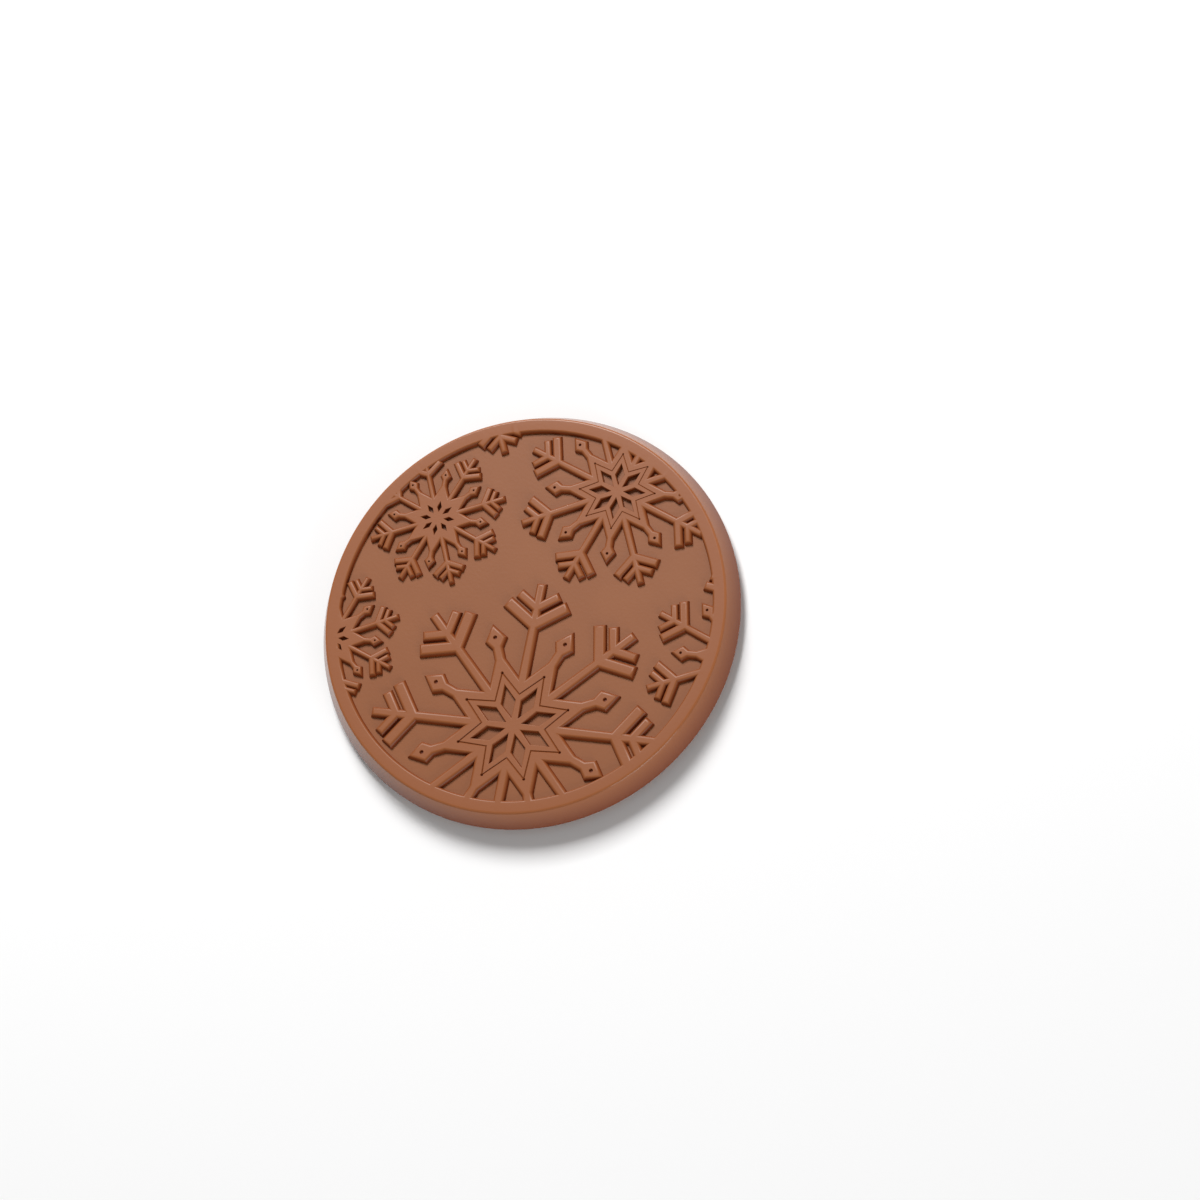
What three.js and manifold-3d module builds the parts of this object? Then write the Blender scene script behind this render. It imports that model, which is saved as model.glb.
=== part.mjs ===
// A round chocolate biscuit, lying with its moulded snowflake face up.
// A drafted milk-chocolate disc has a raised rim and snowflakes on its face and a round
// pocket underneath. A golden biscuit with a ribbed edge is set in the pocket and stands
// proud of the chocolate below. Millimetres, +Z up, the biscuit's raised pattern at z = 0.

import * as THREE from 'three';
import { mergeVertices } from 'three/addons/utils/BufferGeometryUtils.js';
import { ConvexGeometry } from 'three/addons/geometries/ConvexGeometry.js';
import Module from 'manifold-3d';

const wasm = await Module();
wasm.setup();

// ---- driving dimensions, millimetres and degrees ----

// chocolate disc
const OUTER_RADIUS = 32.5;         // widest, near the side the biscuit shows on
const FACE_RADIUS = 31.0;          // edge of the snowflake face, after the wall's draft
const RIM_INNER_RADIUS = 29.3;     // inner edge of the face's flat rim
const FIELD_RADIUS = 28.85;        // foot of the rim's inner slope
const TOTAL_HEIGHT = 5.2;          // rim and snowflake tops
const CHOCOLATE_BOTTOM = 1.5;      // flat ring round the biscuit
const RELIEF = 0.7;                // field below the rim
const POCKET_RADIUS = 30.0;
const POCKET_CEILING = 3.8;
const FACE_ARRIS = 0.3;            // softened edge between the rim and the wall
const WALL_ARRIS = { in: 0.3, up: 0.35 };
const DISC_SEGMENTS = 90;

// biscuit
const BISCUIT_RADIUS = 29.7;
const BISCUIT_TOP = 3.5;
const BISCUIT_FIELD = 0.55;        // depth of the sunk field inside the rings
const RIB_COUNT = 72;
const RIB_INNER_RADIUS = 23.9;
const RIB_GROOVE_HALF = 0.3;       // half the width of the groove between two ribs
const RIB_GROOVE_DEPTH = 0.4;
const RIB_DROOP = 1.6;             // how far in from the edge the ribs start to round up
const RINGS = [[21.1, 21.7], [22.5, 23.0]];
const RING_SEGMENTS = 36;
const RAISED_SLOPE = 0.25;         // how far the sides of the raised pattern lean

// the windows of a snowflake's star: where they start, are widest and end, and half their
// width, as shares of an arm's length
const LARGE_WINDOW = { inner: 0.048, widest: 0.176, outer: 0.314, half: 0.057 };
const MEDIUM_WINDOW = { inner: 0.056, widest: 0.172, outer: 0.3, half: 0.053 };
const SMALL_WINDOW = { inner: 0.088, widest: 0.168, outer: 0.262, half: 0.038 };

// snowflakes: place of the centre, length of an arm, turn of one arm, and the windows
const SNOWFLAKES = [
  { x: -0.85, y: -17.4, arm: 22.2, turn: 36.5, window: LARGE_WINDOW },
  { x: 13.5, y: 18.75, arm: 15.15, turn: 16, window: MEDIUM_WINDOW },
  { x: -14.4, y: 15.92, arm: 10.6, turn: 14.7, window: SMALL_WINDOW },
  { x: -29.9, y: -2.3, arm: 10.5, turn: 16.5, window: SMALL_WINDOW },
  { x: 34.1, y: -8.45, arm: 15.1, turn: 14.7, window: MEDIUM_WINDOW },
  { x: -9.0, y: 40.85, arm: 15.5, turn: 17, window: MEDIUM_WINDOW },
];
const ARM_COUNT = 8;
const FLANK = 0.42;                // how far a snowflake's sides lean out at the field
const STEP = 360 / ARM_COUNT;      // degrees from one arm to the next

// one snowflake, as shares of its arm's length
const STEM_START = 0.26;
const STEM_HALF = 0.0285;
const SPIKE_HALF = 0.0236;
const BRANCH_ANGLE = 56;
const LOWER_PAIR = { at: 0.717, reach: 0.25, half: 0.0347 };
const UPPER_PAIR = { at: 0.834, reach: 0.163, half: 0.0257 };
const SMALL_PAIRS_INWARD = 0.027;  // a small snowflake's pairs sit this much nearer its middle
const STAR_VALLEY = 0.302;
const NECK_START = 0.489;
const NECK_END = 0.578;
const NECK_HALF = 0.0278;
const HEAD_SHOULDER = 0.635;
const HEAD_HALF = 0.066;
const HEAD_TIP = 0.733;
const HEAD_HOLE = 0.6486;
const GROOVE_TIP = 0.388;
const GROOVE_VALLEY = 0.2236;
const GROOVE_HALF = 0.012;
const GROOVE_DEPTH = 0.016;
const WINDOW_LEAN = 0.009;
const SMALL_HOLE = 0.013;

// the flat-topped ornament inside the biscuit's rings: a ring of open ovals round a rosette
const OVAL = { count: 10, centre: 15.8, long: 3.7, short: 2.5, stroke: 1.15, tilt: 68 };
const PETAL = { count: 8, centre: 6.3, long: 2.8, short: 1.35 };
const HUB_RADIUS = 2.2;

// ---- small helpers ----

const OVERSHOOT = 0.4;             // how far roots run on below the face they stand on
const MARGIN = 0.02;               // how far cutters stand out of the face they open
const SMALLEST_EDGE = 0.01;
const FINEST = 0.005;              // joins and cuts drop corners that stand out less than this
const SHARPEST_MITRE = 0.45;       // keeps the flank round a sharp corner from shooting out
const FIELD_Z = TOTAL_HEIGHT - RELIEF;

// The point at a distance and a direction from the middle.
function polar(radius, degrees) {
  const angle = THREE.MathUtils.degToRad(degrees);
  return new THREE.Vector2(radius * Math.cos(angle), radius * Math.sin(angle));
}

// Turns a three.js geometry into a closed solid: shared corners are joined, triangles
// without area dropped, and the faces turned outward.
function solid(geometry) {
  const bare = geometry.index ? geometry.toNonIndexed() : geometry.clone();
  bare.deleteAttribute('normal');
  bare.deleteAttribute('uv');
  const joined = mergeVertices(bare, 1e-4);
  const corners = Float32Array.from(joined.attributes.position.array, (v) => Math.round(v * 1e4) / 1e4);
  const faces = [];
  const index = joined.index.array;
  const a = new THREE.Vector3();
  const b = new THREE.Vector3();
  const c = new THREE.Vector3();
  let volume = 0;
  for (let i = 0; i < index.length; i += 3) {
    const [p, q, r] = [index[i], index[i + 1], index[i + 2]];
    if (p === q || q === r || r === p) continue;
    faces.push([p, q, r]);
    a.fromArray(corners, 3 * p);
    b.fromArray(corners, 3 * q);
    c.fromArray(corners, 3 * r);
    volume += a.dot(b.cross(c));
  }
  const outward = volume < 0 ? faces.map(([p, q, r]) => [p, r, q]) : faces;
  return new wasm.Manifold(new wasm.Mesh({
    numProp: 3,
    vertProperties: corners,
    triVerts: Uint32Array.from(outward.flat()),
    tolerance: FINEST,
  }));
}

function addAll(solids) {
  return solids.reduce((whole, piece) => whole.add(piece));
}

// Moves every edge of an outline outward by the same distance (inward when negative).
function widened(outline, distance) {
  const clockwise = THREE.ShapeUtils.isClockWise(outline) ? -1 : 1;
  return outline.map((point, i) => {
    const before = outline[(i + outline.length - 1) % outline.length];
    const after = outline[(i + 1) % outline.length];
    const arriving = point.clone().sub(before).normalize();
    const leaving = after.clone().sub(point).normalize();
    const mitre = new THREE.Vector2(arriving.y + leaving.y, -arriving.x - leaving.x);
    const reach = Math.max(1 + arriving.dot(leaving), SHARPEST_MITRE);
    return mitre.multiplyScalar((clockwise * distance) / reach).add(point);
  });
}

// A solid between two outlines of equal point count, one at each height.
function between(lower, lowerZ, upper, upperZ) {
  if (THREE.ShapeUtils.isClockWise(lower)) {
    return between(lower.slice().reverse(), lowerZ, upper.slice().reverse(), upperZ);
  }
  const count = lower.length;
  const at = (outline, height) => outline.flatMap((point) => [point.x, point.y, height]);
  const index = [];
  for (const [a, b, c] of THREE.ShapeUtils.triangulateShape(lower, [])) {
    index.push(a, c, b);
  }
  for (const [a, b, c] of THREE.ShapeUtils.triangulateShape(upper, [])) {
    index.push(count + a, count + b, count + c);
  }
  for (let i = 0; i < count; i += 1) {
    const next = (i + 1) % count;
    index.push(i, next, count + i);
    index.push(next, count + next, count + i);
  }
  const points = [...at(lower, lowerZ), ...at(upper, upperZ)];
  const geometry = new THREE.BufferGeometry();
  geometry.setAttribute('position', new THREE.Float32BufferAttribute(points, 3));
  geometry.setIndex(index);
  return solid(geometry);
}

// A raised boss: the outline is its flat top, and its sides lean out by `lean` on the way
// down to `foot` and on, as its root, into the body it stands on.
function boss(outline, foot, top, lean) {
  const share = (top - foot + OVERSHOOT) / (top - foot);
  return between(widened(outline, lean * share), foot - OVERSHOOT, outline, top);
}

// A cutter for a hollow: as wide as the outline at `mouth`, narrower by `lean` at `floor`.
function hollow(outline, floor, mouth, lean) {
  return between(widened(outline, -lean), floor, outline, mouth);
}

// A closed band of three-cornered section that follows three loops of equal point count.
function wedgeLoop(loops) {
  const count = loops[0].length;
  const points = loops.flat().flatMap((point) => [point.x, point.y, point.z]);
  const index = [];
  for (let side = 0; side < 3; side += 1) {
    const here = side * count;
    const there = ((side + 1) % 3) * count;
    for (let i = 0; i < count; i += 1) {
      const next = (i + 1) % count;
      index.push(here + i, here + next, there + i);
      index.push(there + i, here + next, there + next);
    }
  }
  const geometry = new THREE.BufferGeometry();
  geometry.setAttribute('position', new THREE.Float32BufferAttribute(points, 3));
  geometry.setIndex(index);
  return solid(geometry);
}

// A profile of [radius, height] points turned round the Z axis.
function turned(profile, segments) {
  const points = profile.map(([radius, height]) => new THREE.Vector2(radius, height));
  const geometry = new THREE.LatheGeometry(points, segments);
  geometry.rotateX(Math.PI / 2);
  return solid(geometry);
}

// An ellipse's outline, its long axis turned by `turn` degrees.
function ellipse(centre, long, short, turn, count) {
  const outline = [];
  for (let i = 0; i < count; i += 1) {
    const around = (2 * Math.PI * i) / count;
    const point = new THREE.Vector2(long * Math.cos(around), short * Math.sin(around));
    outline.push(point.rotateAround(new THREE.Vector2(), THREE.MathUtils.degToRad(turn)).add(centre));
  }
  return outline;
}

// ---- snowflake ----

// The places below are worked out along an arm that points at +X, one arm long, and are
// then scaled, turned and moved to where the snowflake lies on the face.
function placed(points, flake, degrees) {
  const turn = THREE.MathUtils.degToRad(flake.turn + degrees);
  const centre = new THREE.Vector2(flake.x, flake.y);
  return points.map(([along, across]) => new THREE.Vector2(along * flake.arm, across * flake.arm)
    .rotateAround(new THREE.Vector2(), turn)
    .add(centre));
}

// An arm's stem, from inside the star to the spike at its end.
function stemOutline() {
  return [[STEM_START, -STEM_HALF], [1, -SPIKE_HALF], [1, SPIKE_HALF], [STEM_START, STEM_HALF]];
}

// A pair of side branches: an open V that leaves the arm at BRANCH_ANGLE on both sides.
function pairOutline({ at, reach, half }) {
  const angle = THREE.MathUtils.degToRad(BRANCH_ANGLE);
  const along = [Math.cos(angle) * reach, Math.sin(angle) * reach];
  const aside = [Math.sin(angle) * half, Math.cos(angle) * half];
  const rise = half / Math.sin(angle);
  return [
    [at - rise, 0],
    [at + along[0] - aside[0], -along[1] - aside[1]],
    [at + along[0] + aside[0], -along[1] + aside[1]],
    [at + rise, 0],
    [at + along[0] + aside[0], along[1] - aside[1]],
    [at + along[0] - aside[0], along[1] + aside[1]],
  ];
}

// The middle star: its eight tips run out through a narrow neck into an arrowhead.
function starOutline() {
  const outline = [];
  for (let i = 0; i < ARM_COUNT; i += 1) {
    const middle = STEP * (i + 0.5);
    const valley = polar(STAR_VALLEY, STEP * i);
    outline.push([valley.x, valley.y]);
    const side = [
      [NECK_START, -NECK_HALF], [NECK_END, -NECK_HALF], [HEAD_SHOULDER, -HEAD_HALF], [HEAD_TIP, 0],
      [HEAD_SHOULDER, HEAD_HALF], [NECK_END, NECK_HALF], [NECK_START, NECK_HALF],
    ];
    const turn = THREE.MathUtils.degToRad(middle);
    for (const [along, across] of side) {
      outline.push([
        along * Math.cos(turn) - across * Math.sin(turn),
        along * Math.sin(turn) + across * Math.cos(turn),
      ]);
    }
  }
  return outline;
}

// A tapered pit in the flat top.
function smallHole(flake, along, degrees) {
  const [centre] = placed([[along, 0]], flake, degrees);
  const radius = SMALL_HOLE * flake.arm;
  const outline = ellipse(centre, radius, radius, 0, 4);
  return hollow(outline, TOTAL_HEIGHT - radius, TOTAL_HEIGHT + MARGIN, 0.6 * radius);
}

// The line of the groove round the star, moved out from the middle by `shift`.
function grooveLoop(flake, shift, height) {
  const loop = [];
  for (let i = 0; i < ARM_COUNT; i += 1) {
    const valley = placed([[GROOVE_VALLEY + shift, 0]], flake, STEP * i)[0];
    const tip = placed([[GROOVE_TIP + 2 * shift, 0]], flake, STEP * (i + 0.5))[0];
    loop.push(new THREE.Vector3(valley.x, valley.y, height), new THREE.Vector3(tip.x, tip.y, height));
  }
  return loop;
}

// The raised shapes of one snowflake, and what is cut into them: the star's thin groove, which
// the small snowflakes don't have, the eight windows round its middle and the small hole in
// each arrowhead.
function snowflake(flake) {
  const raised = [boss(placed(starOutline(), flake, 0), FIELD_Z, TOTAL_HEIGHT, FLANK)];
  const cuts = [];
  if (flake.window !== SMALL_WINDOW) {
    cuts.push(wedgeLoop([
      grooveLoop(flake, GROOVE_HALF, TOTAL_HEIGHT + MARGIN),
      grooveLoop(flake, 0, TOTAL_HEIGHT - GROOVE_DEPTH * flake.arm),
      grooveLoop(flake, -GROOVE_HALF, TOTAL_HEIGHT + MARGIN),
    ]));
  }
  const inward = flake.window === SMALL_WINDOW ? SMALL_PAIRS_INWARD : 0;
  const pairs = [LOWER_PAIR, UPPER_PAIR].map((pair) => pairOutline({ ...pair, at: pair.at - inward }));
  for (let i = 0; i < ARM_COUNT; i += 1) {
    for (const outline of [stemOutline(), ...pairs]) {
      raised.push(boss(placed(outline, flake, STEP * i), FIELD_Z, TOTAL_HEIGHT, FLANK));
    }
    const midway = STEP * (i + 0.5);
    const { inner, widest, outer, half } = flake.window;
    const window = placed([[inner, 0], [widest, -half], [outer, 0], [widest, half]], flake, midway);
    cuts.push(hollow(window, FIELD_Z, TOTAL_HEIGHT + MARGIN, WINDOW_LEAN * flake.arm));
    cuts.push(smallHole(flake, HEAD_HOLE, midway));
  }
  return { raised: addAll(raised), cuts: addAll(cuts) };
}

// ---- chocolate ----

// The disc with its drafted wall, its rim and the pocket the biscuit sits in.
function chocolateDisc() {
  return turned([
    [0, POCKET_CEILING],
    [POCKET_RADIUS, POCKET_CEILING],
    [POCKET_RADIUS, CHOCOLATE_BOTTOM],
    [OUTER_RADIUS - WALL_ARRIS.in, CHOCOLATE_BOTTOM],
    [OUTER_RADIUS, CHOCOLATE_BOTTOM + WALL_ARRIS.up],
    [FACE_RADIUS + FACE_ARRIS / 2, TOTAL_HEIGHT - FACE_ARRIS],
    [FACE_RADIUS - FACE_ARRIS, TOTAL_HEIGHT],
    [RIM_INNER_RADIUS, TOTAL_HEIGHT],
    [FIELD_RADIUS, FIELD_Z],
    [0, FIELD_Z],
  ], DISC_SEGMENTS);
}

// A round slice of the face layer, to trim what reaches past `radius`.
function faceLayer(radius) {
  return turned([
    [0, FIELD_Z - OVERSHOOT],
    [radius, FIELD_Z - OVERSHOOT],
    [radius, TOTAL_HEIGHT + OVERSHOOT],
    [0, TOTAL_HEIGHT + OVERSHOOT],
  ], DISC_SEGMENTS);
}

// The snowflakes run into the rim, level with it; their grooves and windows end before it.
function chocolate() {
  const flakes = SNOWFLAKES.map(snowflake);
  const raised = addAll(flakes.map((flake) => flake.raised)).intersect(faceLayer(FACE_RADIUS - 1));
  const cuts = addAll(flakes.map((flake) => flake.cuts)).intersect(faceLayer(FIELD_RADIUS));
  return chocolateDisc().add(raised).subtract(cuts);
}

// ---- biscuit ----

// The outer band between the rings and the edge, its underside rounding up to the wall.
function biscuitBody() {
  return turned([
    [0, BISCUIT_FIELD],
    [RIB_INNER_RADIUS - RAISED_SLOPE, BISCUIT_FIELD],
    [RIB_INNER_RADIUS, 0],
    [BISCUIT_RADIUS - RIB_DROOP, 0],
    [BISCUIT_RADIUS - 0.4 * RIB_DROOP, 0.2 * RIB_DROOP],
    [BISCUIT_RADIUS, 0.7 * RIB_DROOP],
    [BISCUIT_RADIUS, BISCUIT_TOP],
    [0, BISCUIT_TOP],
  ], RIB_COUNT);
}

// A flat-topped ring between two radii.
function raisedRing(inner, outer) {
  return turned([
    [inner - RAISED_SLOPE, BISCUIT_FIELD + OVERSHOOT],
    [inner - RAISED_SLOPE, BISCUIT_FIELD],
    [inner, 0],
    [outer, 0],
    [outer + RAISED_SLOPE, BISCUIT_FIELD],
    [outer + RAISED_SLOPE, BISCUIT_FIELD + OVERSHOOT],
    [inner - RAISED_SLOPE, BISCUIT_FIELD + OVERSHOOT],
  ], RING_SEGMENTS);
}

// The thin groove between two ribs, deepening where the band rounds up at the edge.
function ribGroove(degrees) {
  const near = RIB_INNER_RADIUS + 0.15;
  const deep = RIB_INNER_RADIUS + 0.6;
  const far = BISCUIT_RADIUS + 0.3;
  const points = [
    [near, 0, -MARGIN],
    [deep, -RIB_GROOVE_HALF, -MARGIN],
    [deep, RIB_GROOVE_HALF, -MARGIN],
    [far, -2 * RIB_GROOVE_HALF, -MARGIN],
    [far, 2 * RIB_GROOVE_HALF, -MARGIN],
    [deep, 0, RIB_GROOVE_DEPTH],
    [BISCUIT_RADIUS - RIB_DROOP, 0, RIB_GROOVE_DEPTH],
    [far, 0, CHOCOLATE_BOTTOM + 0.3],
  ].map(([x, y, z]) => new THREE.Vector3(x, y, z));
  const geometry = new ConvexGeometry(points);
  geometry.rotateZ(THREE.MathUtils.degToRad(degrees));
  return solid(geometry);
}

// A raised motif on the underside, its flat top on z = 0.
function motif(outline) {
  const mirrored = outline.map((point) => new THREE.Vector2(point.x, -point.y));
  return boss(mirrored, -BISCUIT_FIELD, 0, RAISED_SLOPE).rotate([180, 0, 0]);
}

// One oval of the ring of ovals, open in the middle.
function openOval(degrees) {
  const centre = polar(OVAL.centre, degrees);
  const turn = degrees + OVAL.tilt;
  const outline = ellipse(centre, OVAL.long, OVAL.short, turn, 10);
  const opening = ellipse(centre, OVAL.long - OVAL.stroke, OVAL.short - OVAL.stroke, turn, 8);
  const floor = widened(opening, -RAISED_SLOPE);
  return motif(outline).subtract(between(opening, -MARGIN, floor, BISCUIT_FIELD));
}

function biscuit() {
  const pieces = [biscuitBody(), ...RINGS.map(([inner, outer]) => raisedRing(inner, outer))];
  for (let i = 0; i < OVAL.count; i += 1) {
    pieces.push(openOval((360 * i) / OVAL.count));
  }
  for (let i = 0; i < PETAL.count; i += 1) {
    const degrees = (360 * i) / PETAL.count;
    pieces.push(motif(ellipse(polar(PETAL.centre, degrees), PETAL.long, PETAL.short, degrees, 8)));
  }
  pieces.push(motif(ellipse(new THREE.Vector2(), HUB_RADIUS, HUB_RADIUS, 0, 12)));
  const grooves = [];
  for (let i = 0; i < RIB_COUNT; i += 1) {
    grooves.push(ribGroove((360 * i) / RIB_COUNT));
  }
  return addAll(pieces).subtract(addAll(grooves));
}

// ---- the finished part ----

// Corners closer than SMALLEST_EDGE become one, and triangles left without area are dropped.
function meshOf(shape, name, colour, roughness) {
  const data = shape.getMesh();
  const cut = new THREE.BufferGeometry();
  cut.setAttribute('position', new THREE.Float32BufferAttribute(data.vertProperties, 3));
  cut.setIndex(Array.from(data.triVerts));
  const geometry = mergeVertices(cut, SMALLEST_EDGE);
  const index = Array.from(geometry.index.array);
  const kept = [];
  for (let i = 0; i < index.length; i += 3) {
    const corners = index.slice(i, i + 3);
    if (new Set(corners).size === 3) kept.push(...corners);
  }
  geometry.setIndex(kept);
  geometry.computeVertexNormals();
  const material = new THREE.MeshStandardMaterial({ color: colour, roughness, metalness: 0 });
  const mesh = new THREE.Mesh(geometry, material);
  mesh.name = name;
  return mesh;
}

const group = new THREE.Group();
group.name = 'chocolate_biscuit';
group.add(meshOf(chocolate(), 'chocolate', 0x9b694e, 0.45));
group.add(meshOf(biscuit(), 'biscuit', 0xefc28c, 0.85));

export default group;
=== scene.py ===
"""A round chocolate biscuit, lying with its moulded snowflake face up.

Shapes are worked out in millimetres and brought to metres when a piece is finished.
"""

import random
from math import atan2, cos, pi, radians, sin, sqrt, tau

import bmesh
import bpy
from mathutils import Matrix, Vector, noise


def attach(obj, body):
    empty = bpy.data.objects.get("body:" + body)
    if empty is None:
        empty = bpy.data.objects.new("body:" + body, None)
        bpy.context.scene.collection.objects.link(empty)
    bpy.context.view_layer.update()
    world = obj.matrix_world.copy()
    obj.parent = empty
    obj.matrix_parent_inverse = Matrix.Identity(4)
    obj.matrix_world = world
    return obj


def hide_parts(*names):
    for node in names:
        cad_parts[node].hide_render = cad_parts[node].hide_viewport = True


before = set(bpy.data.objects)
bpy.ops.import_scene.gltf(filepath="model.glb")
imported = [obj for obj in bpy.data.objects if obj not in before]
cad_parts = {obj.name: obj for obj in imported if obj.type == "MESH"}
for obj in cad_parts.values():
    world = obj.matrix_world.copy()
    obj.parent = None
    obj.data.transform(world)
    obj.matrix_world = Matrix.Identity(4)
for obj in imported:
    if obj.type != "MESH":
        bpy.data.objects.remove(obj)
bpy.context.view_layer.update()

# ---- driving dimensions, millimetres and degrees, as in the solids ----

METRES = 0.001

# chocolate disc
OUTER_RADIUS = 32.5
FACE_RADIUS = 31.0
RIM_INNER_RADIUS = 29.3
FIELD_RADIUS = 28.85
TOTAL_HEIGHT = 5.2
CHOCOLATE_BOTTOM = 1.5
RELIEF = 0.7
FIELD_Z = TOTAL_HEIGHT - RELIEF
POCKET_RADIUS = 30.0
POCKET_CEILING = 3.8
FACE_ARRIS = 0.3                   # how far the rim's outer edge is rounded
FOOT_ARRIS = 0.3                   # and the wall's lower edge

# snowflakes: place of the centre, length of an arm, turn of one arm, and the windows of its
# star: where they start, are widest and end, and half their width. In the smaller ones the
# chocolate has filled more of each window.
LARGE_WINDOW = (0.048, 0.176, 0.314, 0.057)
MEDIUM_WINDOW = (0.056, 0.172, 0.300, 0.053)
SMALL_WINDOW = (0.088, 0.168, 0.262, 0.038)
SNOWFLAKES = [
    (Vector((-0.85, -17.4)), 22.2, 36.5, LARGE_WINDOW),
    (Vector((13.5, 18.75)), 15.15, 16, MEDIUM_WINDOW),
    (Vector((-14.4, 15.92)), 10.6, 14.7, SMALL_WINDOW),
    (Vector((-29.9, -2.3)), 10.5, 16.5, SMALL_WINDOW),
    (Vector((34.1, -8.45)), 15.1, 14.7, MEDIUM_WINDOW),
    (Vector((-9.0, 40.85)), 15.5, 17, MEDIUM_WINDOW),
]
GROOVED = [flake for flake in SNOWFLAKES if flake[3] is not SMALL_WINDOW]
ARM_COUNT = 8
STEP = 360 / ARM_COUNT
ROOT = 0.4                         # how far shapes run on below the face they stand on
MARGIN = 0.02                      # how far cutters stand out of the face they open

# the sides of a raised shape: how far its flat top stays inside its outline, how far its sides
# then round out to the foot, and in how many steps
SHOULDER = 0.30
FLANK = 0.58
ROUND_STEPS = 8
LARGEST_ARM = 22.2
ARM_POWER = 0.4                    # the sides shrink by this power of an arm's share of that one

# one snowflake, as shares of its arm's length
STEM_START, STEM_HALF, SPIKE_HALF = 0.26, 0.0285, 0.0236
BRANCH_ANGLE = 56
LOWER_PAIR = (0.717, 0.250, 0.0347)            # where it leaves the arm, reach, half width
UPPER_PAIR = (0.834, 0.163, 0.0257)
SMALL_PAIRS_INWARD = 0.027         # a small snowflake's pairs sit this much nearer its middle
STAR_VALLEY = 0.302
NECK_START, NECK_END, NECK_HALF = 0.489, 0.578, 0.0278
HEAD_SHOULDER, HEAD_HALF, HEAD_TIP, HEAD_HOLE = 0.635, 0.066, 0.733, 0.6486
GROOVE_TIP, GROOVE_VALLEY, GROOVE_HALF, GROOVE_DEPTH = 0.388, 0.2236, 0.008, 0.0075
GROOVE_PIT, PIT_DEPTH = 0.012, 0.016           # the small pit at each tip of the groove
PIT_LEAN = 0.6                     # how much it narrows to its floor, as a share of its radius
SMALL_HOLE = 0.016                 # the small hole in each head
HOLE_LEAN = 0.4                    # how much it narrows to its floor, as a share of its radius
HOLE_DEPTH = 0.35                  # in millimetres, the same in all snowflakes
HOLE_CORNERS = 8                   # of the holes and the pits
WINDOW_ROUND = 0.009               # how far a window narrows to its floor

# biscuit
BISCUIT_RADIUS = 29.7
BISCUIT_TOP = 3.5
BISCUIT_FIELD = 0.55
GROOVE_LEVEL = 0.42                # the floor between the ribs
EDGE_ROUND = {"from": 27.6, "to": 29.25, "rise": 1.3}        # of that floor, out to the wall
EDGE_TOP, WALL_FOOT = 2.2, 2.5     # heights where the ribbed edge ends and the plain wall starts
RINGS = [(21.05, 21.75), (22.45, 23.1)]
RING_FOOT = 0.15                   # how much wider a ring is at its foot, on each side
RING_CROWN = 0.05                  # how far its crown stays above the plane the biscuit rests on
OVAL = {"count": 10, "centre": 15.8, "long": 3.7, "short": 2.5, "stroke": 1.3, "tilt": 68}
PETAL = {"count": 8, "centre": 6.3, "long": 2.8, "short": 1.4, "edge": 0.7}
HUB = {"radius": 2.2, "edge": 0.6}             # "edge" is how far in its side rounds over

# ribs
RIB_COUNT = 72
RIB_INNER_RADIUS = 23.9
RIB_HEIGHT = 0.42                  # above the grooves between the ribs
RIB_BLUNTNESS = 2.8                # 2 would make a rib's section half an ellipse
RIB_START = 0.15                   # how far out from the inner radius a rib starts at its middle
RIB_NOSE = 0.3                     # how much farther out it starts at its sides
RIB_END = 0.8                      # how far out from its start a rib reaches its full height
RIBS_UP_TO = 2.4                   # how high up the edge they run

# what baking did
RIB_SEED = 72
RIB_STRAY = 0.15                   # how far a rib's start has moved, at most
RIB_LOWEST = 0.93                  # the least share of its height that a rib has kept
RIB_WAVES, WAVES_PER_MM = 0.04, 0.6            # share by which ribs vary in height, and how fast
SPREAD_SEED = 8                    # without it the embossing would move differently each run
SPREAD, SPREAD_LENGTH = 0.3, 4.5   # how far the embossing has moved, and over what length
SINKING = 0.15                     # the largest share of its height that it has lost

# meshes
CREASE = 35                        # edges sharper than this, in degrees, stay crisp
DOUBLES = 0.002                    # corners nearer than this are merged
SEAM = 1e-4                        # the same, at the seam and the middle of a turned shape
CHOCOLATE_FLATNESS = 100           # its flat faces look wholly flat
BISCUIT_FLATNESS = 50              # its flat faces look the flatter, the larger they are
DISC_STEPS, RING_STEPS, TRIM_STEPS = 360, 180, 240           # round the axis
RIB_STEPS = 16                     # round one rib, from groove to groove
ARRIS_STEPS = 4
SECTION_STEPS = 8                  # over a ring's section, and over the biscuit's edge
ELLIPSE_CORNERS = 32
PLAIN_TO = 0.35                    # how far inside the ribs the biscuit's plain middle ends
RIB_END_ROWS, RIB_END_SPACING = 10, 0.12       # of corners across the ribs, where they start
RIB_ROWS, RIB_SPACING, RIB_ROWS_FROM = 3, 0.7, 1.8           # and farther out


# ---- helpers ----

EVEN = {"use_even_offset": True, "use_boundary": True}
QUARTER = [(pi / 2 * k / 4, pi / 2 * (k + 1) / 4) for k in range(4)]     # of a turn, in four steps


def polar(radius, degrees):
    angle = radians(degrees)
    return Vector((radius * cos(angle), radius * sin(angle)))


def mesh_object(bm, name):
    """Turns a bmesh of closed bodies into an object, faces outward."""
    bmesh.ops.recalc_face_normals(bm, faces=bm.faces)
    mesh = bpy.data.meshes.new(name)
    bm.to_mesh(mesh)
    bm.free()
    made = bpy.data.objects.new(name, mesh)
    bpy.context.scene.collection.objects.link(made)
    return made


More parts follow.
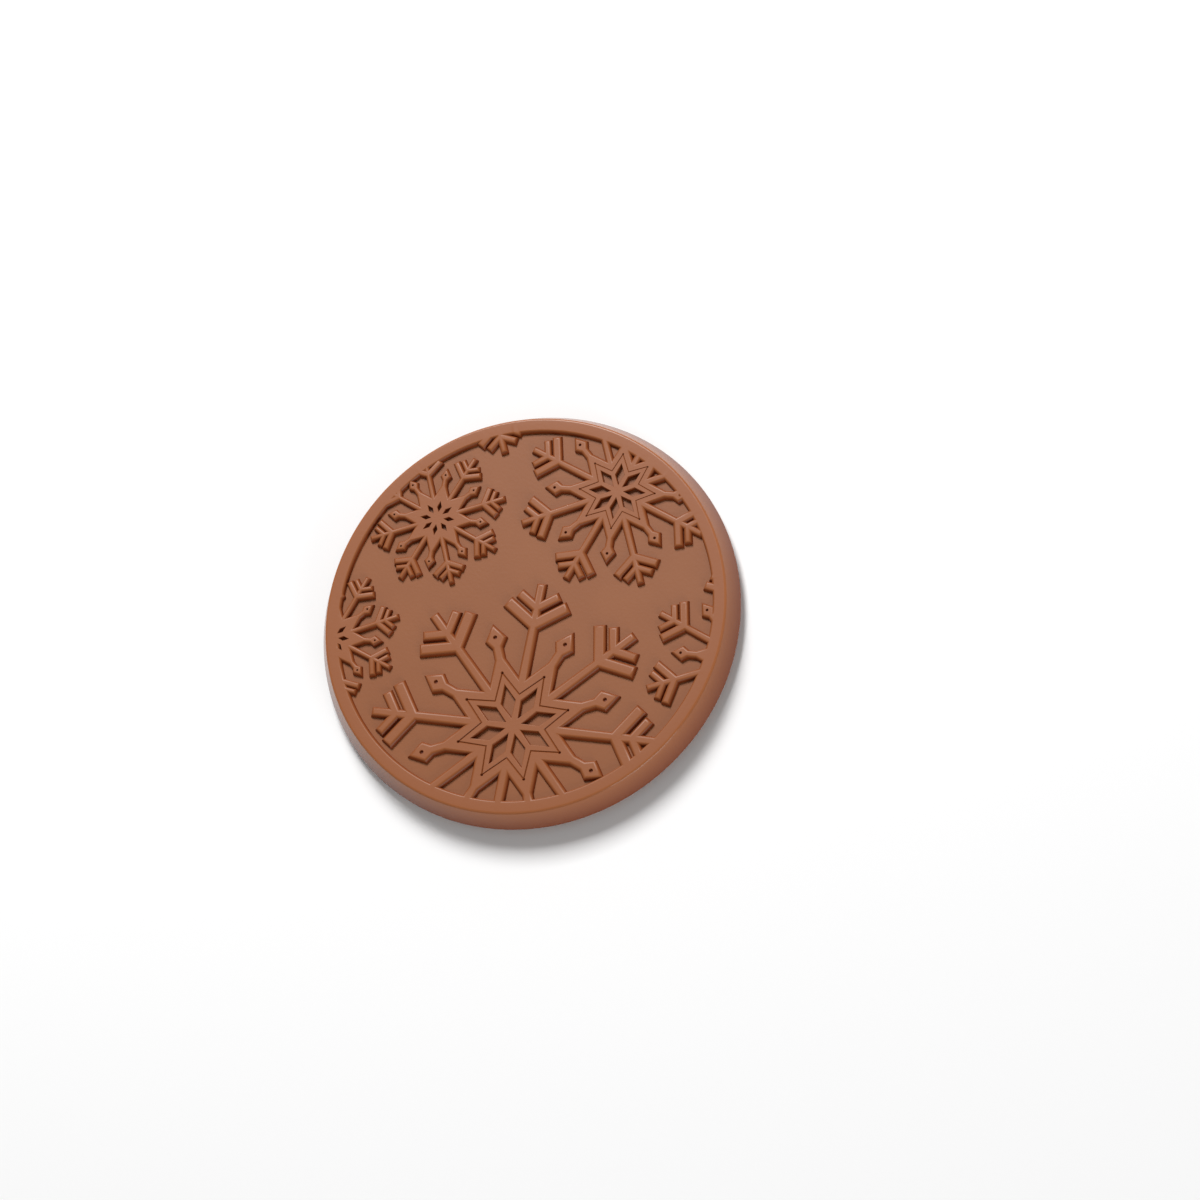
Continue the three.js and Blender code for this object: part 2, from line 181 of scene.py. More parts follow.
def modify(piece, kind, **settings):
    """Runs one modifier on a piece and keeps its result."""
    modifier = piece.modifiers.new(kind.lower(), kind)
    for name, value in settings.items():
        setattr(modifier, name, value)
    shown = piece.evaluated_get(bpy.context.evaluated_depsgraph_get())
    result = bpy.data.meshes.new_from_object(shown)
    piece.modifiers.clear()
    piece.data = result


def combine(piece, tool, operation):
    """Cuts or joins two pieces, and removes the tool."""
    modify(piece, "BOOLEAN", object=tool, operation=operation, solver="MANIFOLD")
    bpy.data.objects.remove(tool)


def taper(bm, outline, mouth, floor, lean):
    """A closed body between two heights, wider by `lean` at `floor` than its outline at `mouth`."""
    face = flat_face(bm, outline, mouth)
    corners = face.verts[:]
    bmesh.ops.inset_region(bm, faces=[face], thickness=-lean, depth=floor - mouth, **EVEN)
    close(bm, corners)


def turned(bm, profile, steps, rounded=()):
    """Turns a profile of (radius, height) points round Z. `rounded` holds (corner number, size)."""
    corners = [bm.verts.new((radius, 0, height)) for radius, height in profile]
    for start, end in zip(corners, corners[1:]):
        bm.edges.new((start, end))
    for number, size in rounded:
        bmesh.ops.bevel(
            bm, geom=[corners[number]], offset=size, offset_type="OFFSET", segments=ARRIS_STEPS,
            profile=0.5, affect="VERTICES", material=-1,
        )
    bmesh.ops.spin(
        bm, geom=bm.verts[:] + bm.edges[:], cent=(0, 0, 0), axis=(0, 0, 1), angle=tau,
        steps=steps, use_merge=True,
    )
    bmesh.ops.remove_doubles(bm, verts=bm.verts, dist=SEAM)


def merge_doubles(piece):
    """Merges the corners that lie all but on one another where the joined shapes cross."""
    bm = bmesh.new()
    bm.from_mesh(piece.data)
    bmesh.ops.remove_doubles(bm, verts=bm.verts, dist=DOUBLES)
    bm.to_mesh(piece.data)
    bm.free()


def finish_piece(piece, node, material, flatness):
    """Brings a mesh to metres, lets its flat faces look flat, and puts it in the frame."""
    merge_doubles(piece)
    piece.data.transform(Matrix.Scale(METRES, 4))
    piece.data.shade_smooth()
    piece.data.set_sharp_from_angle(angle=radians(CREASE))
    modify(piece, "WEIGHTED_NORMAL", mode="FACE_AREA", weight=flatness, keep_sharp=True)
    piece.data.materials.clear()
    piece.data.materials.append(material)
    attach(piece, "root")
    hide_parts(node)


# ---- snowflakes ----

def placed(points, flake, degrees=0):
    """Points along and across an arm, one arm long, brought to where the snowflake lies."""
    centre, arm, turn, _ = flake
    turned_by = Matrix.Rotation(radians(turn + degrees), 2)
    return [centre + turned_by @ Vector(point) * arm for point in points]


def pair_outline(at, reach, half):
    """A pair of side branches: an open V that leaves the arm on both sides."""
    along = polar(reach, BRANCH_ANGLE)
    aside = polar(half, 90 - BRANCH_ANGLE)
    rise = half / sin(radians(BRANCH_ANGLE))
    return [
        (at - rise, 0),
        (at + along.x - aside.x, -along.y - aside.y),
        (at + along.x + aside.x, -along.y + aside.y),
        (at + rise, 0),
        (at + along.x + aside.x, along.y - aside.y),
        (at + along.x - aside.x, along.y + aside.y),
    ]


def star_outline():
    """The middle star: its eight tips run out through a narrow neck into an arrowhead."""
    outline = []
    side = [
        (NECK_START, -NECK_HALF), (NECK_END, -NECK_HALF), (HEAD_SHOULDER, -HEAD_HALF),
        (HEAD_TIP, 0),
        (HEAD_SHOULDER, HEAD_HALF), (NECK_END, NECK_HALF), (NECK_START, NECK_HALF),
    ]
    for i in range(ARM_COUNT):
        outline.append(polar(STAR_VALLEY, STEP * i))
        middle = Matrix.Rotation(radians(STEP * (i + 0.5)), 2)
        outline += [middle @ Vector(point) for point in side]
    return outline


def flat_face(bm, outline, height):
    """A face that looks up, with the outline's corners."""
    face = bm.faces.new([bm.verts.new((point.x, point.y, height)) for point in outline])
    face.normal_update()
    if face.normal.z < 0:
        face.normal_flip()
    return face


def round_down(bm, face, out, down):
    """Leads a face out and down along a quarter of an ellipse, level at first, upright at last."""
    gone_out, gone_down = 0, 0
    for k in range(1, ROUND_STEPS + 1):
        angle = pi / 2 * k / ROUND_STEPS
        step_out = out * sin(angle) - gone_out
        step_down = down * (1 - cos(angle)) - gone_down
        bmesh.ops.inset_region(bm, faces=[face], thickness=-step_out, depth=-step_down, **EVEN)
        gone_out, gone_down = gone_out + step_out, gone_down + step_down


def open_loop(corners):
    """The open loop of edges that runs through these corners, always in the same order."""
    edges = [edge for corner in corners for edge in corner.link_edges if edge.is_boundary]
    return list(dict.fromkeys(edges))


def close(bm, corners):
    """Closes the open loop of edges that runs through these corners."""
    bmesh.ops.contextual_create(bm, geom=open_loop(corners))


def run_up(bm, corners, rise):
    """Runs the open loop through these corners straight up by `rise`, and closes it there."""
    made = bmesh.ops.extrude_edge_only(bm, edges=open_loop(corners))["geom"]
    ends = [item for item in made if isinstance(item, bmesh.types.BMVert)]
    bmesh.ops.translate(bm, verts=ends, vec=(0, 0, rise))
    close(bm, ends)


def raised(bm, outline, arm):
    """A bar or star on the field: a flat top level with the rim, and sides that round down to a
    steep foot."""
    crisp = (arm / LARGEST_ARM) ** ARM_POWER
    top = flat_face(bm, outline, TOTAL_HEIGHT)
    border = bmesh.ops.inset_region(bm, faces=[top], thickness=SHOULDER * crisp, **EVEN)["faces"]
    bmesh.ops.delete(bm, geom=border, context="FACES")
    corners = top.verts[:]
    round_down(bm, top, FLANK * crisp, RELIEF)
    bmesh.ops.inset_region(bm, faces=[top], thickness=0, depth=-ROOT, **EVEN)
    close(bm, corners)


def stars():
    bm = bmesh.new()
    for flake in SNOWFLAKES:
        raised(bm, placed(star_outline(), flake), flake[1])
    return mesh_object(bm, "stars")


def stems():
    bm = bmesh.new()
    outline = [(STEM_START, -STEM_HALF), (1, -SPIKE_HALF), (1, SPIKE_HALF), (STEM_START, STEM_HALF)]
    for flake in SNOWFLAKES:
        for i in range(ARM_COUNT):
            raised(bm, placed(outline, flake, STEP * i), flake[1])
    return mesh_object(bm, "stems")


def pairs(at, reach, half):
    """The same pair of side branches on every arm of every snowflake."""
    bm = bmesh.new()
    for flake in SNOWFLAKES:
        inward = SMALL_PAIRS_INWARD if flake[3] is SMALL_WINDOW else 0
        outline = pair_outline(at - inward, reach, half)
        for i in range(ARM_COUNT):
            raised(bm, placed(outline, flake, STEP * i), flake[1])
    return mesh_object(bm, "pairs")


def small_round(at, radius):
    """The outline of a small round hole, `at` a place along an arm."""
    return [Vector((at, 0)) + polar(radius, 360 / HOLE_CORNERS * k) for k in range(HOLE_CORNERS)]


def windows():
    """What is cut into the stars: the windows round the middle, and a small hole in each head."""
    bm = bmesh.new()
    for flake in SNOWFLAKES:
        _, arm, _, (inner, widest, outer, half) = flake
        window = [(inner, 0), (widest, -half), (outer, 0), (widest, half)]
        for i in range(ARM_COUNT):
            midway = STEP * (i + 0.5)
            mouth = flat_face(bm, placed(window, flake, midway), TOTAL_HEIGHT)
            corners = mouth.verts[:]
            round_down(bm, mouth, -WINDOW_ROUND * arm, RELIEF - MARGIN)
            bmesh.ops.inset_region(bm, faces=[mouth], thickness=0, depth=-ROOT - 2 * MARGIN, **EVEN)
            run_up(bm, corners, MARGIN)
            hole = placed(small_round(HEAD_HOLE, SMALL_HOLE), flake, midway)
            taper(
                bm, hole, TOTAL_HEIGHT + MARGIN, TOTAL_HEIGHT - HOLE_DEPTH,
                -HOLE_LEAN * SMALL_HOLE * arm,
            )
    return mesh_object(bm, "windows")


def star_grooves():
    """The thin groove that follows each larger star, as a closed band of three-cornered section."""
    bm = bmesh.new()
    for flake in GROOVED:
        arm = flake[1]
        loops = []
        for shift, height in (
            (GROOVE_HALF, TOTAL_HEIGHT + MARGIN),
            (0, TOTAL_HEIGHT - GROOVE_DEPTH * arm),
            (-GROOVE_HALF, TOTAL_HEIGHT + MARGIN),
        ):
            line = []
            for i in range(ARM_COUNT):
                line += placed([(GROOVE_VALLEY + shift, 0)], flake, STEP * i)
                line += placed([(GROOVE_TIP + 2 * shift, 0)], flake, STEP * (i + 0.5))
            corners = [bm.verts.new((point.x, point.y, height)) for point in line]
            ends = zip(corners, corners[1:] + corners[:1])
            loops.append([bm.edges.new(pair) for pair in ends])
        for first, second in zip(loops, loops[1:] + loops[:1]):
            bmesh.ops.bridge_loops(bm, edges=first + second)
    return mesh_object(bm, "star_grooves")


def groove_pits():
    """The small pit at each tip of the grooves."""
    bm = bmesh.new()
    for flake in GROOVED:
        arm = flake[1]
        for i in range(ARM_COUNT):
            pit = placed(small_round(GROOVE_TIP, GROOVE_PIT), flake, STEP * (i + 0.5))
            taper(
                bm, pit, TOTAL_HEIGHT + 2 * MARGIN, TOTAL_HEIGHT - PIT_DEPTH * arm,
                -PIT_LEAN * GROOVE_PIT * arm,
            )
    return mesh_object(bm, "groove_pits")


# ---- chocolate ----

def face_layer(radius):
    """A round slice of the face, to trim what reaches past `radius`."""
    bm = bmesh.new()
    depth = RELIEF + 4 * ROOT
    bmesh.ops.create_cone(
        bm, cap_ends=True, segments=TRIM_STEPS, radius1=radius, radius2=radius, depth=depth,
        matrix=Matrix.Translation((0, 0, TOTAL_HEIGHT + ROOT - depth / 2)),
    )
    return mesh_object(bm, "face_layer")


def disc():
    """The chocolate without its snowflakes: the pocket, the wall, the rim and the sunken field."""
    bm = bmesh.new()
    profile = [
        (0, POCKET_CEILING), (POCKET_RADIUS, POCKET_CEILING), (POCKET_RADIUS, CHOCOLATE_BOTTOM),
        (OUTER_RADIUS, CHOCOLATE_BOTTOM), (FACE_RADIUS, TOTAL_HEIGHT),
    ]
    for k in range(ROUND_STEPS + 1):
        angle = pi / 2 * k / ROUND_STEPS
        radius = RIM_INNER_RADIUS - (RIM_INNER_RADIUS - FIELD_RADIUS) * sin(angle)
        profile.append((radius, FIELD_Z + RELIEF * cos(angle)))
    profile.append((0, FIELD_Z))
    foot = profile.index((OUTER_RADIUS, CHOCOLATE_BOTTOM))
    turned(bm, profile, DISC_STEPS, rounded=[(foot, FOOT_ARRIS), (foot + 1, FACE_ARRIS)])
    return mesh_object(bm, "moulded_chocolate")


def chocolate():
    tops = stars()
    combine(tops, windows(), "DIFFERENCE")
    whole = disc()
    for part in (tops, stems(), pairs(*LOWER_PAIR), pairs(*UPPER_PAIR)):
        combine(part, face_layer(POCKET_RADIUS), "INTERSECT")
        combine(whole, part, "UNION")
    lines = star_grooves()
    combine(lines, groove_pits(), "UNION")
    combine(lines, face_layer(FIELD_RADIUS), "INTERSECT")
    combine(whole, lines, "DIFFERENCE")
    return whole


# ---- biscuit ----

def pillow(bm, outline, edge):
    """A body that bulges down from the biscuit's field, to the plane that the biscuit rests on:
    its side rounds over to a flat face, `edge` inside its outline."""
    face = flat_face(bm, outline, BISCUIT_FIELD)
    face.normal_flip()
    corners = face.verts[:]
    for here, there in QUARTER:
        bmesh.ops.inset_region(
            bm, faces=[face], thickness=edge * (cos(here) - cos(there)),
            depth=BISCUIT_FIELD * (sin(there) - sin(here)), **EVEN,
        )
    run_up(bm, corners, ROOT)
    return face


def ellipse(centre, long, short, turn):
    turned_by = Matrix.Rotation(radians(turn), 2)
    angles = [tau * k / ELLIPSE_CORNERS for k in range(ELLIPSE_CORNERS)]
    points = [Vector((long * cos(angle), short * sin(angle))) for angle in angles]
    return [centre + turned_by @ point for point in points]


def rope_oval(bm, degrees):
    """One oval of the ring of ovals: a round rope that follows an ellipse."""
    centre = polar(OVAL["centre"], degrees)
    outline = ellipse(centre, OVAL["long"], OVAL["short"], degrees + OVAL["tilt"])
    half = OVAL["stroke"] / 2
    middle = pillow(bm, outline, half)
    for here, there in QUARTER:
        bmesh.ops.inset_region(
            bm, faces=[middle], thickness=half * (sin(there) - sin(here)),
            depth=-(BISCUIT_FIELD + 2 * MARGIN) * (cos(here) - cos(there)), **EVEN,
        )


def biscuit_base():
    """The dough's disc, whose outer band is fine enough to press the ribs into."""
    bm = bmesh.new()
    start, end, rise = EDGE_ROUND["from"], EDGE_ROUND["to"], EDGE_ROUND["rise"]
    radii = [RIB_INNER_RADIUS + RIB_END_SPACING * k for k in range(RIB_END_ROWS)]
    radii += [RIB_INNER_RADIUS + RIB_ROWS_FROM + RIB_SPACING * k for k in range(RIB_ROWS)]
    profile = [(0, BISCUIT_FIELD), (RIB_INNER_RADIUS - PLAIN_TO, BISCUIT_FIELD)]
    profile += [(radius, GROOVE_LEVEL) for radius in radii]
    for k in range(SECTION_STEPS + 1):
        angle = pi / 2 * k / SECTION_STEPS
        profile.append((start + (end - start) * sin(angle), GROOVE_LEVEL + rise * (1 - cos(angle))))
    profile += [(end, EDGE_TOP), (BISCUIT_RADIUS, WALL_FOOT)]
    profile += [(BISCUIT_RADIUS, BISCUIT_TOP), (0, BISCUIT_TOP)]
    turned(bm, profile, RIB_COUNT * RIB_STEPS)
    base = mesh_object(bm, "baked_biscuit")
    press_ribs(base)
    return base


def quarter(share):
    """The height of a quarter circle, from 0 where `share` is 0 to 1 where it is 1."""
    left = 1 - min(max(share, 0), 1)
    return sqrt(1 - left * left)


def press_ribs(base):
    """Raises the ribs out of the band: round ends, round shoulders down to the grooves, and
    over the edge. Baking leaves no two of them quite alike."""
    chance = random.Random(RIB_SEED)
    ribs = [
        (chance.uniform(-RIB_STRAY, RIB_STRAY), chance.uniform(RIB_LOWEST, 1))
        for _ in range(RIB_COUNT)
    ]
    for vertex in base.data.vertices:
        radius = vertex.co.xy.length
        if radius < RIB_INNER_RADIUS or vertex.co.z > RIBS_UP_TO:
            continue
        turn = (atan2(vertex.co.y, vertex.co.x) / tau * RIB_COUNT) % RIB_COUNT
        stray, height = ribs[int(turn) % RIB_COUNT]
        across = min(abs(turn % 1 - 0.5) * 2, 1)
        inner_end = RIB_INNER_RADIUS + RIB_START + stray + RIB_NOSE * across ** 2
        side = sqrt(1 - across ** RIB_BLUNTNESS)
        relief = RIB_HEIGHT * height * side * quarter((radius - inner_end) / RIB_END)
        relief *= 1 - RIB_WAVES + RIB_WAVES * noise.noise(vertex.co * WAVES_PER_MM)
        past = (radius - EDGE_ROUND["from"]) / (EDGE_ROUND["to"] - EDGE_ROUND["from"])
        outward = min(max(past, 0), 1)
        level = vertex.co.xy.normalized() * relief * outward
        vertex.co += Vector((level.x, level.y, -relief * sqrt(1 - outward * outward)))


def raised_ring(inner, outer):
    """One of the two rings: round in section, from its foot on the field to its crown."""
    bm = bmesh.new()
    middle, half = (inner + outer) / 2, (outer - inner) / 2 + RING_FOOT
    root, rise = BISCUIT_FIELD + ROOT, BISCUIT_FIELD - RING_CROWN
    profile = [(middle - half, root)]
    for k in range(SECTION_STEPS + 1):
        angle = pi * k / SECTION_STEPS
        profile.append((middle - half * cos(angle), BISCUIT_FIELD - rise * sin(angle)))
    profile += [(middle + half, root), (middle - half, root)]
    turned(bm, profile, RING_STEPS)
    return mesh_object(bm, "raised_ring")


def biscuit_pattern():
    """Ovals and rosette, which are embossed on the middle of the underside."""
    bm = bmesh.new()
    for i in range(OVAL["count"]):
        rope_oval(bm, 360 / OVAL["count"] * i)
    for i in range(PETAL["count"]):
        degrees = 360 / PETAL["count"] * i
        petal = ellipse(polar(PETAL["centre"], degrees), PETAL["long"], PETAL["short"], degrees)
        pillow(bm, petal, PETAL["edge"])
    pillow(bm, ellipse(Vector((0, 0)), HUB["radius"], HUB["radius"], 0), HUB["edge"])
    return mesh_object(bm, "biscuit_pattern")


def let_spread(piece):
    """Baking lets what is embossed spread and sink a little, here more and there less."""
    for vertex in piece.data.vertices:
        shift = noise.noise_vector(vertex.co / SPREAD_LENGTH)
        relief = BISCUIT_FIELD - vertex.co.z
        sunk = max(relief, 0) * SINKING * (0.5 + 0.5 * shift.z)
        vertex.co += Vector((shift.x * SPREAD, shift.y * SPREAD, sunk))


def biscuit():
    whole = biscuit_base()
    noise.seed_set(SPREAD_SEED)
    for part in (*(raised_ring(*ring) for ring in RINGS), biscuit_pattern()):
        let_spread(part)
        combine(whole, part, "UNION")
    return whole


# ---- materials ----

def linear(colour):
    """An sRGB hex colour as linear red, green, blue and alpha."""
    channels = [int(colour[i:i + 2], 16) / 255 for i in (1, 3, 5)]
    return [c / 12.92 if c <= 0.04045 else ((c + 0.055) / 1.055) ** 2.4 for c in channels] + [1]


def add_node(tree, kind, settings=None, **sockets):
    """Adds a node. A socket's value is a number, a colour or another node's output."""
    node = tree.nodes.new("ShaderNode" + kind)
    for name, value in (settings or {}).items():
        setattr(node, name, value)
    for name, value in sockets.items():
        numbered = name[1:].isdigit()
        socket = node.inputs[int(name[1:]) if numbered else name.replace("_", " ")]
        if isinstance(value, bpy.types.NodeSocket):
            tree.links.new(value, socket)
        else:
            socket.default_value = value
    return node


def new_material(name):
    material = bpy.data.materials.new(name)
    material.use_nodes = True
    tree = material.node_tree
    tree.nodes.clear()
    return material, tree


def per_mm(size):
    """A texture's scale on coordinates in metres, for features of that many millimetres."""
    return 1 / (size * METRES)


def between(start, end):
    """A MapRange node's range on coordinates in metres, from two heights or radii."""
    return {"From_Min": start * METRES, "From_Max": end * METRES}


def from_axis(tree, place):
    """How far out from the part's axis a place is."""
    level = add_node(tree, "VectorMath", MULTIPLY, _0=place, _1=(1, 1, 0))
    length = add_node(tree, "VectorMath", {"operation": "LENGTH"}, _0=level.outputs["Vector"])
    return length.outputs["Value"]


# settings of nodes: a Mix of COLOURS has its share in socket 0, its colours in 6 and 7
COLOURS = {"data_type": "RGBA"}
MULTIPLY = {"operation": "MULTIPLY"}
FALLING = {"To_Min": 1.0, "To_Max": 0.0}

# where the chocolate's colours pass into one another, as heights and radii
# between these heights the steep sides of the relief get their painted shade
FIELD_TO_SIDES = (FIELD_Z + 0.005, FIELD_Z + 0.03)
SIDES_TO_TOPS = (TOTAL_HEIGHT - 0.40, TOTAL_HEIGHT - 0.02)
# the wall's colour and gloss start inside the rim's outer edge, so the wall's lighter top paints a
# highlight line along that rounded edge
FACE_TO_WALL = (FACE_RADIUS - 0.35, FACE_RADIUS - 0.1)
RING_TO_WALL = (CHOCOLATE_BOTTOM + 0.02, CHOCOLATE_BOTTOM + 0.15)
FACE_ROUGHNESS = 0.42
WALL_ROUGHNESS = 0.2


def moulded_milk_chocolate():
    """Milk chocolate cast in a polished mould and released: satin on the face, shiny on the wall
    that slid along the mould, evenly coloured in itself, with a very faint cloudiness. The tops of
    the raised shapes are a little lighter than the field. Painted shade makes the steep sides of
    the raised shapes, windows, grooves and the rim's inner side darker and redder, and the wall
    darker towards its foot; a painted highlight makes the wall's top and the rim's outer edge
    lighter."""
    material, tree = new_material("moulded_milk_chocolate")
    place = add_node(tree, "TexCoord").outputs["Object"]
    clouds = add_node(tree, "TexNoise", Vector=place, Scale=per_mm(7), Detail=3.0, Roughness=0.5)
    grain = add_node(tree, "TexNoise", Vector=place, Scale=per_mm(0.5), Detail=4.0, Roughness=0.6)
    field = add_node(
        tree, "Mix", COLOURS,
        _0=clouds.outputs["Fac"], _6=linear("#854D28"), _7=linear("#8D542E"),
    )
    height = add_node(tree, "SeparateXYZ", Vector=place).outputs["Z"]
    raised_up = add_node(tree, "MapRange", Value=height, **between(FIELD_Z, TOTAL_HEIGHT))
    flat = add_node(
        tree, "Mix", COLOURS,
        _0=raised_up.outputs["Result"], _6=field.outputs[2], _7=linear("#8E522C"),
    )
    # painted shade: the steep sides between the field and the flat tops, of the raised shapes,
    # windows, grooves and the rim's inner side, are darker and redder
    above_foot = add_node(tree, "MapRange", Value=height, **between(*FIELD_TO_SIDES))
    below_top = add_node(tree, "MapRange", Value=height, **between(*SIDES_TO_TOPS), **FALLING)
    painted_side_shade = add_node(
        tree, "Math", MULTIPLY, _0=above_foot.outputs["Result"],
        _1=below_top.outputs["Result"],
    )
    face = add_node(
        tree, "Mix", COLOURS,
        _0=painted_side_shade.outputs["Value"], _6=flat.outputs[2], _7=linear("#7D3613"),
    )
    bump = add_node(
        tree, "Bump", Height=grain.outputs["Fac"], Strength=0.18, Distance=0.05 * METRES,
    )
    radius = from_axis(tree, place)
    outside = add_node(tree, "MapRange", Value=radius, **between(*FACE_TO_WALL))
    above_ring = add_node(tree, "MapRange", Value=height, **between(*RING_TO_WALL))
    wall = add_node(
        tree, "Math", MULTIPLY, _0=outside.outputs["Result"],
        _1=above_ring.outputs["Result"],
    )
    # painted shade and highlight: the wall is darker towards its foot and lighter at its top, and
    # that lighter top also reaches the rim's outer edge
    painted_wall_gradient = add_node(tree, "MapRange", Value=height, **between(CHOCOLATE_BOTTOM, TOTAL_HEIGHT))
    wall_painted_shade_and_highlight = add_node(
        tree, "Mix", COLOURS,
        _0=painted_wall_gradient.outputs["Result"], _6=linear("#77391B"), _7=linear("#9C5F3A"),
    )
    colour = add_node(
        tree, "Mix", COLOURS,
        _0=wall.outputs["Value"], _6=face.outputs[2], _7=wall_painted_shade_and_highlight.outputs[2],
    )
    gloss = add_node(
        tree, "MapRange", Value=wall.outputs["Value"], To_Min=FACE_ROUGHNESS, To_Max=WALL_ROUGHNESS,
    )
    shader = add_node(
        tree, "BsdfPrincipled", Base_Color=colour.outputs[2], Roughness=gloss.outputs["Result"],
        IOR=1.36, Normal=bump.outputs["Normal"],
    )
    add_node(tree, "OutputMaterial", Surface=shader.outputs["BSDF"])
    return material


# where the biscuit's colours pass into one another, as heights and radii
TOPS_TO_FLOOR = (0.04, 0.30)
FLOOR_TO_FIELD = (BISCUIT_FIELD - 0.09, BISCUIT_FIELD - 0.01)
FIELD_TO_RIBS = (RIB_INNER_RADIUS - 0.4, RIB_INNER_RADIUS)
RIBS_TO_EDGE = (BISCUIT_RADIUS - 1.5, BISCUIT_RADIUS - 0.3)


def baked_biscuit_dough():
    """Sweet biscuit dough, stamped and baked pale: matt and finely porous, cream on the raised
    pattern, with painted shade in golden orange on the sides of the embossing and in the grooves
    between the ribs, toasted at the edge."""
    material, tree = new_material("baked_biscuit_dough")
    place = add_node(tree, "TexCoord").outputs["Object"]
    height = add_node(tree, "SeparateXYZ", Vector=place).outputs["Z"]
    mottle = add_node(tree, "TexNoise", Vector=place, Scale=per_mm(3), Detail=4.0, Roughness=0.55)
    baked = add_node(
        tree, "Mix", COLOURS,
        _0=mottle.outputs["Fac"], _6=linear("#F0DAC6"), _7=linear("#E6C6A6"),
    )
    # painted shade: golden orange on the sides of the embossing, below its tops and off the plain
    # field, and in the grooves between the ribs
    below_tops = add_node(tree, "MapRange", Value=height, **between(*TOPS_TO_FLOOR))
    raised_up = add_node(tree, "MapRange", Value=height, **between(*FLOOR_TO_FIELD), **FALLING)
    radius = from_axis(tree, place)
    among_ribs = add_node(tree, "MapRange", Value=radius, **between(*FIELD_TO_RIBS))
    off_field = add_node(
        tree, "Math", {"operation": "MAXIMUM"}, _0=raised_up.outputs["Result"],
        _1=among_ribs.outputs["Result"],
    )
    painted_groove_shade = add_node(
        tree, "Math", MULTIPLY, _0=below_tops.outputs["Result"],
        _1=off_field.outputs["Value"],
    )
    dough_with_painted_shade = add_node(
        tree, "Mix", COLOURS,
        _0=painted_groove_shade.outputs["Value"], _6=baked.outputs[2], _7=linear("#E0A76E"),
    )
    edge = add_node(tree, "MapRange", Value=radius, **between(*RIBS_TO_EDGE))
    dough = add_node(
        tree, "Mix", COLOURS,
        _0=edge.outputs["Result"], _6=dough_with_painted_shade.outputs[2], _7=linear("#AE6A34"),
    )
    grain = add_node(tree, "TexNoise", Vector=place, Scale=per_mm(0.35), Detail=5.0, Roughness=0.65)
    bump = add_node(tree, "Bump", Height=grain.outputs["Fac"], Strength=0.6, Distance=0.1 * METRES)
    shader = add_node(
        tree, "BsdfPrincipled", Base_Color=dough.outputs[2], Roughness=0.85, IOR=1.4,
        Normal=bump.outputs["Normal"],
    )
    add_node(tree, "OutputMaterial", Surface=shader.outputs["BSDF"])
    return material


# ---- floor, light and camera ----

# in metres and watts
FLOOR_SIZE = 3.0
KEY = {"towards": (-0.174, 0.673, 0.719), "distance": 0.9, "size": 0.32, "power": 9.6}
FILL = {"towards": (0.61, -0.75, 0.242), "distance": 0.9, "size": 0.5, "power": 4.2}
AROUND = 0.22                      # strength of the even light from all round

TILT = 24.7                       # of the face, off square to the line of sight
LEAN_DIRECTION = -50               # where the camera stands, round from +X
ROLL = 50                          # of the tilt's direction in the picture, below its right
FRAME_WIDTH = 178.5                # millimetres that the picture spans at the face
FACE_OFFSET = (-11.29, 2.12)       # of the face's middle from the picture's middle, right and down
CAMERA_DISTANCE = 1.0              # in metres, as its nearest and farthest view are
NEAREST, FARTHEST = 0.01, 10
SENSOR_WIDTH = 36


def lay_floor():
    bm = bmesh.new()
    bmesh.ops.create_grid(bm, x_segments=1, y_segments=1, size=FLOOR_SIZE / 2)
    floor = mesh_object(bm, "floor")
    material, tree = new_material("pale_floor")
    shader = add_node(tree, "BsdfPrincipled", Base_Color=linear("#F4F4F4"), Roughness=0.9)
    add_node(tree, "OutputMaterial", Surface=shader.outputs["BSDF"])
    floor.data.materials.append(material)


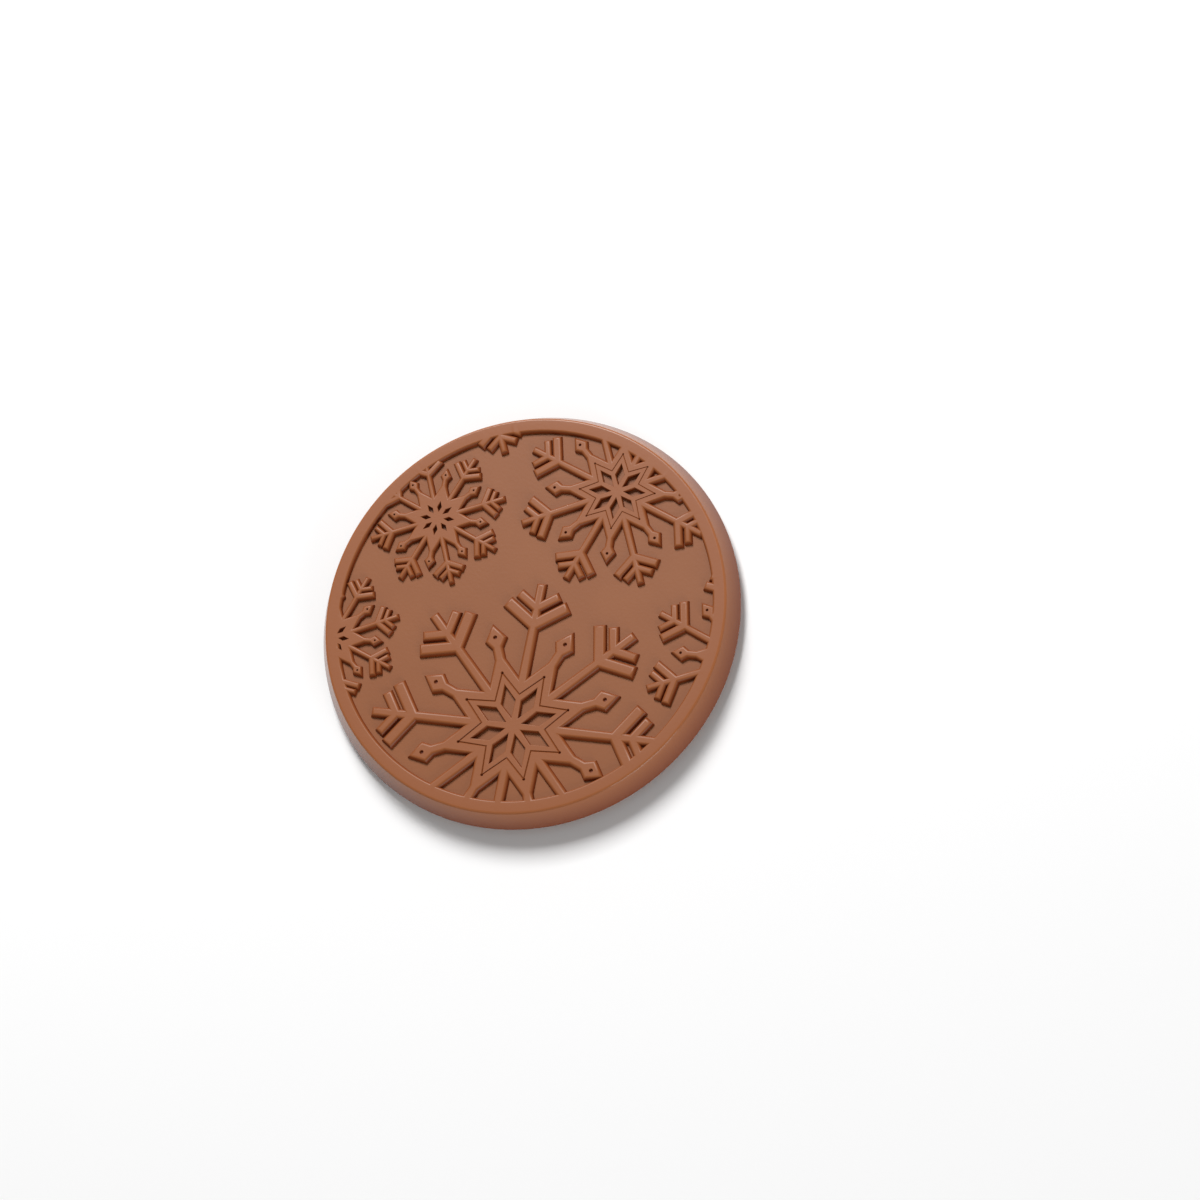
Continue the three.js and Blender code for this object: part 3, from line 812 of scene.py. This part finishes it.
def light(name, towards, distance, size, power):
    """A soft square lamp that looks at the biscuit from the direction `towards` it."""
    lamp = bpy.data.lights.new(name, "AREA")
    lamp.shape = "SQUARE"
    lamp.size = size
    lamp.energy = power
    made = bpy.data.objects.new(name, lamp)
    direction = Vector(towards).normalized()
    made.location = direction * distance
    made.rotation_euler = direction.to_track_quat("Z", "Y").to_euler()
    bpy.context.scene.collection.objects.link(made)


def set_light():
    world = bpy.data.worlds.new("studio")
    bpy.context.scene.world = world
    world.use_nodes = True
    background = world.node_tree.nodes["Background"]
    background.inputs["Color"].default_value = linear("#FFFFFF")
    background.inputs["Strength"].default_value = AROUND
    light("key", **KEY)
    light("fill", **FILL)
    bpy.context.scene.view_settings.view_transform = "Standard"


def set_camera():
    """The camera looks at the face from the photograph's angle, from far off."""
    face = Vector((0, 0, TOTAL_HEIGHT))
    level = Vector((*polar(1, LEAN_DIRECTION), 0))
    across = Vector((*polar(1, LEAN_DIRECTION - 90), 0))
    up = Vector((0, 0, 1))
    tilt, roll = radians(TILT), radians(ROLL)
    towards = sin(tilt) * level + cos(tilt) * up
    falling = cos(tilt) * level - sin(tilt) * up
    right = cos(roll) * falling - sin(roll) * across
    down = sin(roll) * falling + cos(roll) * across
    aim = face - FACE_OFFSET[0] * right - FACE_OFFSET[1] * down
    data = bpy.data.cameras.new("camera")
    data.sensor_width = SENSOR_WIDTH
    data.lens = SENSOR_WIDTH * CAMERA_DISTANCE / (FRAME_WIDTH * METRES)
    data.clip_start = NEAREST
    data.clip_end = FARTHEST
    camera = bpy.data.objects.new("camera", data)
    camera.matrix_world = Matrix((
        (right.x, -down.x, towards.x, 0),
        (right.y, -down.y, towards.y, 0),
        (right.z, -down.z, towards.z, 0),
        (0, 0, 0, 1),
    ))
    camera.location = aim * METRES + towards * CAMERA_DISTANCE
    bpy.context.scene.collection.objects.link(camera)
    bpy.context.scene.camera = camera


finish_piece(
    chocolate(), "chocolate", moulded_milk_chocolate(), CHOCOLATE_FLATNESS,
)
finish_piece(biscuit(), "biscuit", baked_biscuit_dough(), BISCUIT_FLATNESS)
lay_floor()
set_light()
set_camera()
